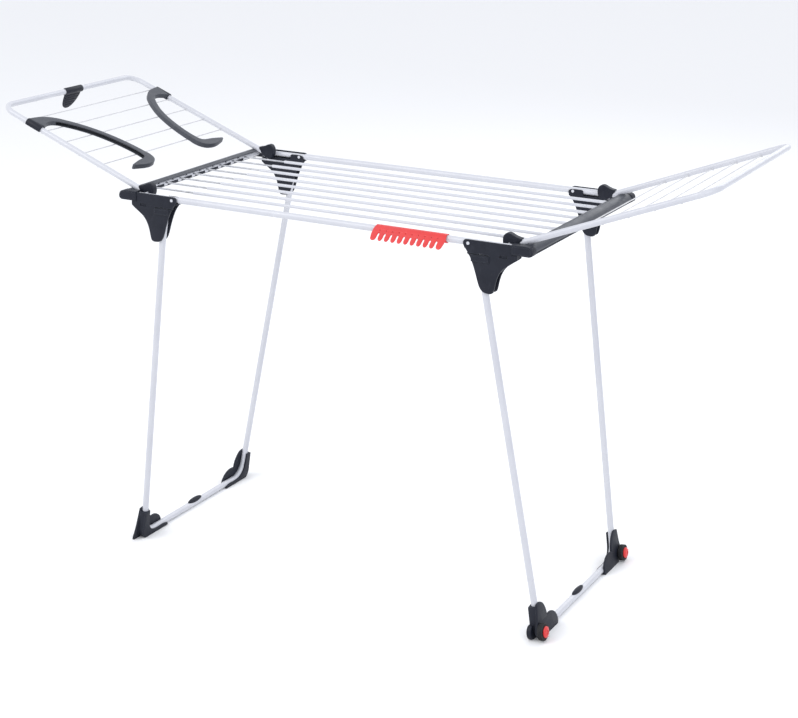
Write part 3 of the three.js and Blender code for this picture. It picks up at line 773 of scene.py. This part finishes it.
wheel = {"radius": 19.5, "width": 12, "axle": 4, "x": 18.8, "y": 238, "z": -851.6}
tyreGroove = (1.6, 3)
crossPad = {"radius": 7, "half": 29, "x": 0.5, "lift": 7.6, "rimFrom": 4, "facing": (-0.54, 0, 0.84)}


def atFoot(outline):
    return [(point[0] + leg["footY"], point[1] - leg["length"], *point[2:]) for point in outline]


def trimAtFloor(piece):
    toLocal = legPlace("right").inverted()
    spot = toLocal @ Vector((leg["pivotX"] * mm, 0, 0))
    up = toLocal.to_3x3() @ Vector((0, 0, 1))
    pickFaces(piece, lambda centre, normal: True)
    bpy.ops.mesh.bisect(plane_co=spot, plane_no=up, use_fill=True, clear_inner=True)
    leaveEdit()
    return piece


def makeToe():
    turns = [math.radians(toe["from"] + (toe["to"] - toe["from"]) * i / toe["steps"]) for i in range(toe["steps"] + 1)]
    rim = [(toe["y"] + toe["radius"] * math.cos(turn), toe["z"] + toe["radius"] * math.sin(turn)) for turn in turns]
    return plate("toe", [rim + toeRoot], toe["low"], toe["high"], 1.4, uprightAlongY, 3)


def makeFoot(wheeled):
    pieces = [
        plate("footShield", [atFoot(wheeledShield if wheeled else footShield)], 6, 11.5, 1.1, uprightAlongY),
        plate("footWrap", [atFoot(footWrap)], -11.3, -7.2, 1.0, uprightAlongY, 3),
        plate("footHeel", [atFoot(footHeel)], -8, 7, 0.4, uprightAlongY),
    ]
    if wheeled:
        pieces.append(makeToe())
    pieces = [trimAtFloor(piece) for piece in pieces]
    if wheeled:
        for piece in pieces[1:]:
            cutAway(piece, roundedBlock("toeGap", toeGap["low"], toeGap["high"], 0.4))
        y, z = wheel["y"], wheel["z"]
        pieces.append(peg("axle", wheel["axle"], (9, y, z), (wheel["x"] + 4, y, z)))
        pieces.append(peg("axleBoss", 9, (9, y, z), (12.2, y, z), 0.6))
    return joined("foot", pieces)


def makeTyre():
    half = wheel["width"] / 2
    at = Vector((wheel["x"], wheel["y"], wheel["z"]))
    tyre = peg("tyre", wheel["radius"], at - Vector((half, 0, 0)), at + Vector((half, 0, 0)), 1.6, 40)
    pickFaces(tyre, lambda centre, normal: abs(normal.x) > 0.99)
    bpy.ops.mesh.inset(thickness=3.2 * mm, use_individual=True)
    bpy.ops.mesh.extrude_region_shrink_fatten(TRANSFORM_OT_shrink_fatten={"value": -0.8 * mm})
    grooveIn, grooveOut = tyreGroove
    for x in (at.x - grooveOut, at.x - grooveIn, at.x + grooveIn, at.x + grooveOut):
        bpy.ops.mesh.select_all(action="SELECT")
        bpy.ops.mesh.bisect(plane_co=(x * mm, 0, 0), plane_no=(1, 0, 0))
    leaveEdit()

    def inGroove(centre, normal):
        across = abs(centre.x - at.x * mm)
        return grooveIn * mm < across < grooveOut * mm and abs(normal.x) < 0.1

    pickFaces(tyre, inGroove)
    bpy.ops.mesh.extrude_region_shrink_fatten(TRANSFORM_OT_shrink_fatten={"value": -0.9 * mm})
    leaveEdit()
    return tyre


def makeHubCap():
    at = Vector((wheel["x"] + wheel["width"] / 2 + 0.3, wheel["y"], wheel["z"]))
    cap = peg("hubCap", 13, at, at + Vector((2.4, 0, 0)), 0.3, 40)
    pickFaces(cap, lambda centre, normal: normal.x > 0.99)
    for inset, rise in ((0.8, 0.9), (1.4, 1.0), (2.2, 0.9), (2.6, 0.6)):
        bpy.ops.mesh.inset(thickness=inset * mm)
        bpy.ops.transform.translate(value=(rise * mm, 0, 0))
    bpy.ops.mesh.inset(thickness=0.9 * mm)
    bpy.ops.mesh.extrude_region_move(TRANSFORM_OT_translate={"value": (-1.3 * mm, 0, 0)})
    leaveEdit()
    ribs = []
    for turn in (15, 135, 255):
        rib = roundedBlock("rib", (at.x + 2.2, at.y + 4.6, at.z - 0.9), (at.x + 4.9, at.y + 12.2, at.z + 0.9), 0.5)
        centre = Matrix.Translation(at * mm)
        rib.matrix_world = centre @ Matrix.Rotation(math.radians(turn), 4, "X") @ centre.inverted()
        ribs.append(applyPlace(rib))
    return joined("hubCap", [cap] + ribs)


def makeCrossPad():
    bpy.ops.object.select_all(action="DESELECT")
    bpy.ops.mesh.primitive_uv_sphere_add(segments=40, ring_count=20, radius=1, rotation=(math.pi / 2, 0, 0))
    pad = named("crossPad")
    pad.scale = (crossPad["radius"] * mm, crossPad["radius"] * mm, crossPad["half"] * mm)
    applyPlace(pad)
    middle = Vector((crossPad["x"], 0, -leg["length"] + crossPad["lift"])) * mm
    pad.location = middle
    applyPlace(pad)
    facing = Vector(crossPad["facing"])
    pickFaces(pad, lambda centre, normal: (centre - middle).dot(facing) > crossPad["rimFrom"] * mm)
    bpy.ops.mesh.inset(thickness=0.8 * mm)
    bpy.ops.mesh.extrude_region_shrink_fatten(TRANSFORM_OT_shrink_fatten={"value": -0.5 * mm})
    leaveEdit()
    return pad


def makeLegFrames():
    tube = makeLegTube()
    pad = makeCrossPad()
    feet = {"left": makeFoot(False), "right": makeFoot(True)}
    for side in sides:
        place = legPlace(side)
        finishPiece(copied(tube, "legTube_" + side, place), legBody[side], enamel, "leg_tube_" + side)
        finishPiece(copied(pad, "crossPad_" + side, place), legBody[side], darkPlastic, "cross_pad_" + side)
        for sy in (1, -1):
            corner = depthAt(side, sy) + "_" + side
            foot = copied(feet[side], "foot_" + corner, place, (1, sy, 1))
            finishPiece(foot, legBody[side], darkPlastic, "foot_" + corner)
    for first in (tube, pad, feet["left"], feet["right"]):
        bpy.data.objects.remove(first)


def makeWheels():
    tyre, cap = makeTyre(), makeHubCap()
    place = legPlace("right")
    for depth, sy in depths.items():
        body, mirror = "wheel_" + depth, (1, sy, 1)
        finishPiece(copied(tyre, "wheelTyre_" + depth, place, mirror), body, tyreRubber, "tyre_" + depth)
        finishPiece(copied(cap, "wheelCap_" + depth, place, mirror), body, redPlastic, "hub_cap_" + depth)
    for first in (tyre, cap):
        bpy.data.objects.remove(first)


makeLegFrames()
makeWheels()
print("leg frames and wheels done")


# wings, modelled with their pivots at the origin and the wing flat
wing = {"tubeY": 256, "radius": 6.75, "drop": -5.3, "reach": 452, "start": 8, "bend": 36}
line = {"count": 5, "first": 151, "pitch": 57.5, "radius": 1.3, "drop": -9.3}
camShape = [(-14, 1), (-12.6, 11), (-7, 19.6), (1, 23), (8, 20.4), (14.5, 14), (21, 8.4), (29, 3.6, 1), (28.4, -0.5, 1),
            (21.5, -5, 1), (17.4, -10), (14, -15), (5.5, -18.5), (-4, -17.7), (-11.4, -9.6)]


def wingPlace(side):
    hinge = Matrix.Translation((wingHinge["x"] * mm, 0, wingHinge["z"] * mm))
    return endTurn(side) @ hinge @ Matrix.Rotation(math.radians(-wingHinge["angle"]), 4, "Y")


def makeWingTube():
    y, z, bend = wing["tubeY"], wing["drop"], wing["bend"]
    straight = wing["reach"] - bend - wing["start"]
    tube = tubeStart("wingTube", (wing["start"], y, z), (1, 0, 0), wing["radius"], 24)
    tubeRun((straight, 0, 0))
    tubeTurn((wing["reach"] - bend, y - bend, z), (0, 0, 1), -90, 12)
    tubeRun((0, -2 * (y - bend), 0))
    tubeTurn((wing["reach"] - bend, -y + bend, z), (0, 0, 1), -90, 12)
    tubeRun((-straight, 0, 0))
    leaveEdit()
    tongues = [roundedBlock("tongue", (-9, sy * 252 - 2, z - 8.6), (16, sy * 252 + 2, z - 2), 0.6) for sy in (1, -1)]
    return joined("wingTube", [tube] + tongues)


def makeLine():
    z, y = line["drop"], wing["tubeY"]
    wire = straightTube("line", (0, -y, z), (0, y, z), line["radius"], 0, 12)
    beads = []
    for sy in (1, -1):
        beads.append(peg("bead", 2.3, (0, sy * (y - wing["radius"] - 1), z), (0, sy * (y - 3), z), 0.7, 16))
        beads.append(peg("plug", 2.1, (0, sy * y, wing["drop"] - wing["radius"] - 1.2), (0, sy * y, z), 0.6, 16))
    return joined("line", [wire] + beads)


def makeCam():
    cap = plate("hingeCap", [camShape], 248, 263.6, 1.9, rings=3)
    windows = [
        roundedBlock("window", (-7.5, 244, -14.6), (0.5, 251.4, -11.8), 0.2),
        roundedBlock("window", (4.5, 244, -14.6), (13, 251.4, -11.8), 0.2),
    ]
    cutAway(cap, *windows)
    return cap


def makeWings():
    tube, wire, cap = makeWingTube(), makeLine(), makeCam()
    for side in sides:
        place = wingPlace(side)
        finishPiece(copied(tube, "wingFrame_" + side, place), wingBody[side], enamel, "wing_tube_" + side)
        for i in range(line["count"]):
            along = place @ Matrix.Translation(((line["first"] + i * line["pitch"]) * mm, 0, 0))
            number = "%s_%d" % (side, i + 1)
            finishPiece(copied(wire, "wingLine_" + number, along), wingBody[side], wireCoat, "line_" + number)
        for sy in (1, -1):
            corner = depthAt(side, sy) + "_" + side
            cam = copied(cap, "hingeCap_" + corner, place, (1, sy, 1))
            finishPiece(cam, wingBody[side], darkPlastic, "cam_" + corner)
    for first in (tube, wire, cap):
        bpy.data.objects.remove(first)


makeWings()
print("wings done")


# hanger arms on the left wing, each a split sleeve and a hooked arm with a flared root
arm = {"from": 326, "to": 370, "low": -7.7, "high": 4.5, "round": 1.2, "flange": 1.6, "grooveKeys": (3, 12)}
sleeves = {"inner": 7.15, "armOuter": 9.9, "latchOuter": 8.7}
armKeys = [(348, 254, 44), (351, 236, 34), (350, 214, 25), (340, 192, 19), (322, 174, 17), (296, 154, 15.5), (271, 139, 15),
           (230, 122, 15), (187, 111, 15.5), (160, 107, 16), (141, 106, 17), (124, 106, 21), (110, 114, 25), (104, 130, 25),
           (103, 150, 22), (103, 168, 14), (103, 187, 4)]


def splitSleeve(inner, outer, start, end, steps=12):
    def arc(radius, first, last):
        turns = [math.radians(first + (last - first) * i / steps) for i in range(steps + 1)]
        return [(radius * math.cos(turn), radius * math.sin(turn)) for turn in turns]
    outside, inside = arc(outer, start, end), arc(inner, end, start)
    ends = {0, steps}
    return [(a, b, 1) if i in ends else (a, b) for i, (a, b) in enumerate(outside)] + [
        (a, b, 1) if i in ends else (a, b) for i, (a, b) in enumerate(inside)]


def shifted(outline, a, b):
    return [(point[0] + a, point[1] + b, *point[2:]) for point in outline]


def armRim(keys, leftExtra=0, rightExtra=0):
    left, right = [], []
    for i, (u, y, width) in enumerate(keys):
        before, after = keys[max(i - 1, 0)], keys[min(i + 1, len(keys) - 1)]
        along = Vector((after[0] - before[0], after[1] - before[1])).normalized()
        toLeft, toRight = width / 2 - leftExtra, width / 2 + rightExtra
        corner = (1,) if i in (0, len(keys) - 1) else ()
        left.append((u - along.y * toLeft, y + along.x * toLeft, *corner))
        right.append((u + along.y * toRight, y - along.x * toRight, *corner))
    return left + right[::-1]


def tubeRoom(start, end):
    return straightTube("room", start, end, sleeves["inner"])


def makeHangerArm():
    blade = plate("armBlade", [armRim(armKeys)], arm["low"], arm["high"], arm["round"], lyingFlat, 3)
    first, last = arm["grooveKeys"]
    hollow = armRim(armKeys[first:last], arm["flange"], 4)
    groove = plate("groove", [hollow], arm["low"] + arm["flange"], arm["high"] - arm["flange"], 0.2, lyingFlat)
    y, z = wing["tubeY"], wing["drop"]
    cutAway(blade, groove, tubeRoom((arm["from"] - 20, y, z), (arm["to"] + 20, y, z)))
    shell = shifted(splitSleeve(sleeves["inner"], sleeves["armOuter"], -25, 215), y, z)
    sleeve = plate("armSleeve", [shell], arm["from"], arm["to"], 0.6, uprightAlongY)
    return blade, sleeve


def makeArms():
    blade, sleeve = makeHangerArm()
    for sy in (1, -1):
        depth = depthAt("left", sy)
        place, body = wingPlace("left"), "hanger_arm_" + depth
        finishPiece(copied(blade, "hangerArm_" + depth, place, (1, sy, 1)), body, greyPlastic, "hanger_arm_" + depth)
        finishPiece(copied(sleeve, "armSleeve_" + depth, place, (1, sy, 1)), body, darkPlastic)
    for first in (blade, sleeve):
        bpy.data.objects.remove(first)


# latch on the left wing's end tube: a split sleeve with a ribbed fan-shaped tab
latchTab = [(19, -8, 1), (-42, -8, 1), (-42, -13), (-38, -24), (-31, -35), (-22, -44), (-11, -50.5), (0, -52.5), (10, -50),
            (17, -43), (20, -30), (20, -16)]
latchRibs = [(-36, 15), (-33, 16), (-28, 16), (-22, 14), (-14, 9)]
latch = {"low": -43, "high": 23, "thick": 3.2, "firstRib": -18, "ribPitch": 6.4}


def makeLatch():
    x, drop = wing["reach"], wing["drop"]
    shell = shifted(splitSleeve(sleeves["inner"], sleeves["latchOuter"], 55, 305), x, drop)
    sleeve = plate("latchSleeve", [shell], latch["low"], latch["high"], 0.6)
    parts = [plate("latchTab", [latchTab], x - latch["thick"], x, 0.9, uprightAlongY)]
    for i, (low, high) in enumerate(latchRibs):
        z = latch["firstRib"] - i * latch["ribPitch"]
        parts.append(roundedBlock("rib", (x - 4.4, low, z - 1.2), (x - 2.4, high, z + 1.2), 0.5))
    room = tubeRoom((x, latch["low"] - 17, drop), (x, latch["high"] + 17, drop))
    shape = joined("latch", [sleeve, cutAway(joined("latchPlate", parts), room)])
    piece = copied(shape, "wingLatch", wingPlace("left"))
    bpy.data.objects.remove(shape)
    finishPiece(piece, "wing_latch", darkPlastic, "wing_latch")


# small-items clip: a split sleeve on the front rail and a comb sloping out and down
comb = {"x": 236, "half": 84, "teeth": 11, "deep": 38.4, "slotTop": 17.5, "slotWide": 5.6, "slotNarrow": 3.4,
        "thick": 2.6, "slope": 40.4, "out": -5.2, "up": 8.9}


def combOutline():
    half, pitch, deep = comb["half"], 2 * comb["half"] / comb["teeth"], comb["deep"]
    rim = [(-half, -2), (-half + 3, 0, 1), (half - 3, 0, 1), (half, -2)]
    for i in range(comb["teeth"]):
        right = half - i * pitch
        left = right - pitch
        outer, inner = comb["slotWide"] / 2, comb["slotNarrow"] / 2
        first = right if i == 0 else right - outer
        last = left if i == comb["teeth"] - 1 else left + outer
        rim += [(first, -deep + 5), (first - 2.6, -deep + 0.5), (last + 2.6, -deep + 0.5), (last, -deep + 5)]
        if i < comb["teeth"] - 1:
            top = -comb["slotTop"]
            rim += [(left + inner, top - 3), (left, top), (left - inner, top - 3)]
    return rim[::-1]


def makeComb():
    pitch = 2 * comb["half"] / comb["teeth"]
    holes = []
    for i in range(1, comb["teeth"]):
        x = -comb["half"] + i * pitch
        holes.append([(x - 1.3, -12.2), (x, -10.9), (x + 1.3, -12.2), (x, -13.5)])
    blade = plate("combBlade", [combOutline()] + holes, -comb["thick"] / 2, comb["thick"] / 2, 0.7, lyingFlat)
    root = Matrix.Translation((0, comb["out"] * mm, comb["up"] * mm))
    blade.matrix_world = root @ Matrix.Rotation(math.radians(comb["slope"]), 4, "X")
    applyPlace(blade)
    sleeve = plate("combSleeve", [splitSleeve(7.8, 10, 35, 290)], -comb["half"], comb["half"], 0.5, uprightAlongY)
    clip = joined("combClip", [blade, sleeve])
    clip.location = (comb["x"] * mm, -rail["y"] * mm, rail["height"] * mm)
    finishPiece(applyPlace(clip), "small_items_clip", redPlastic, "small_items_clip")


makeArms()
makeLatch()
makeComb()
print("hanger arms, latch and comb done")
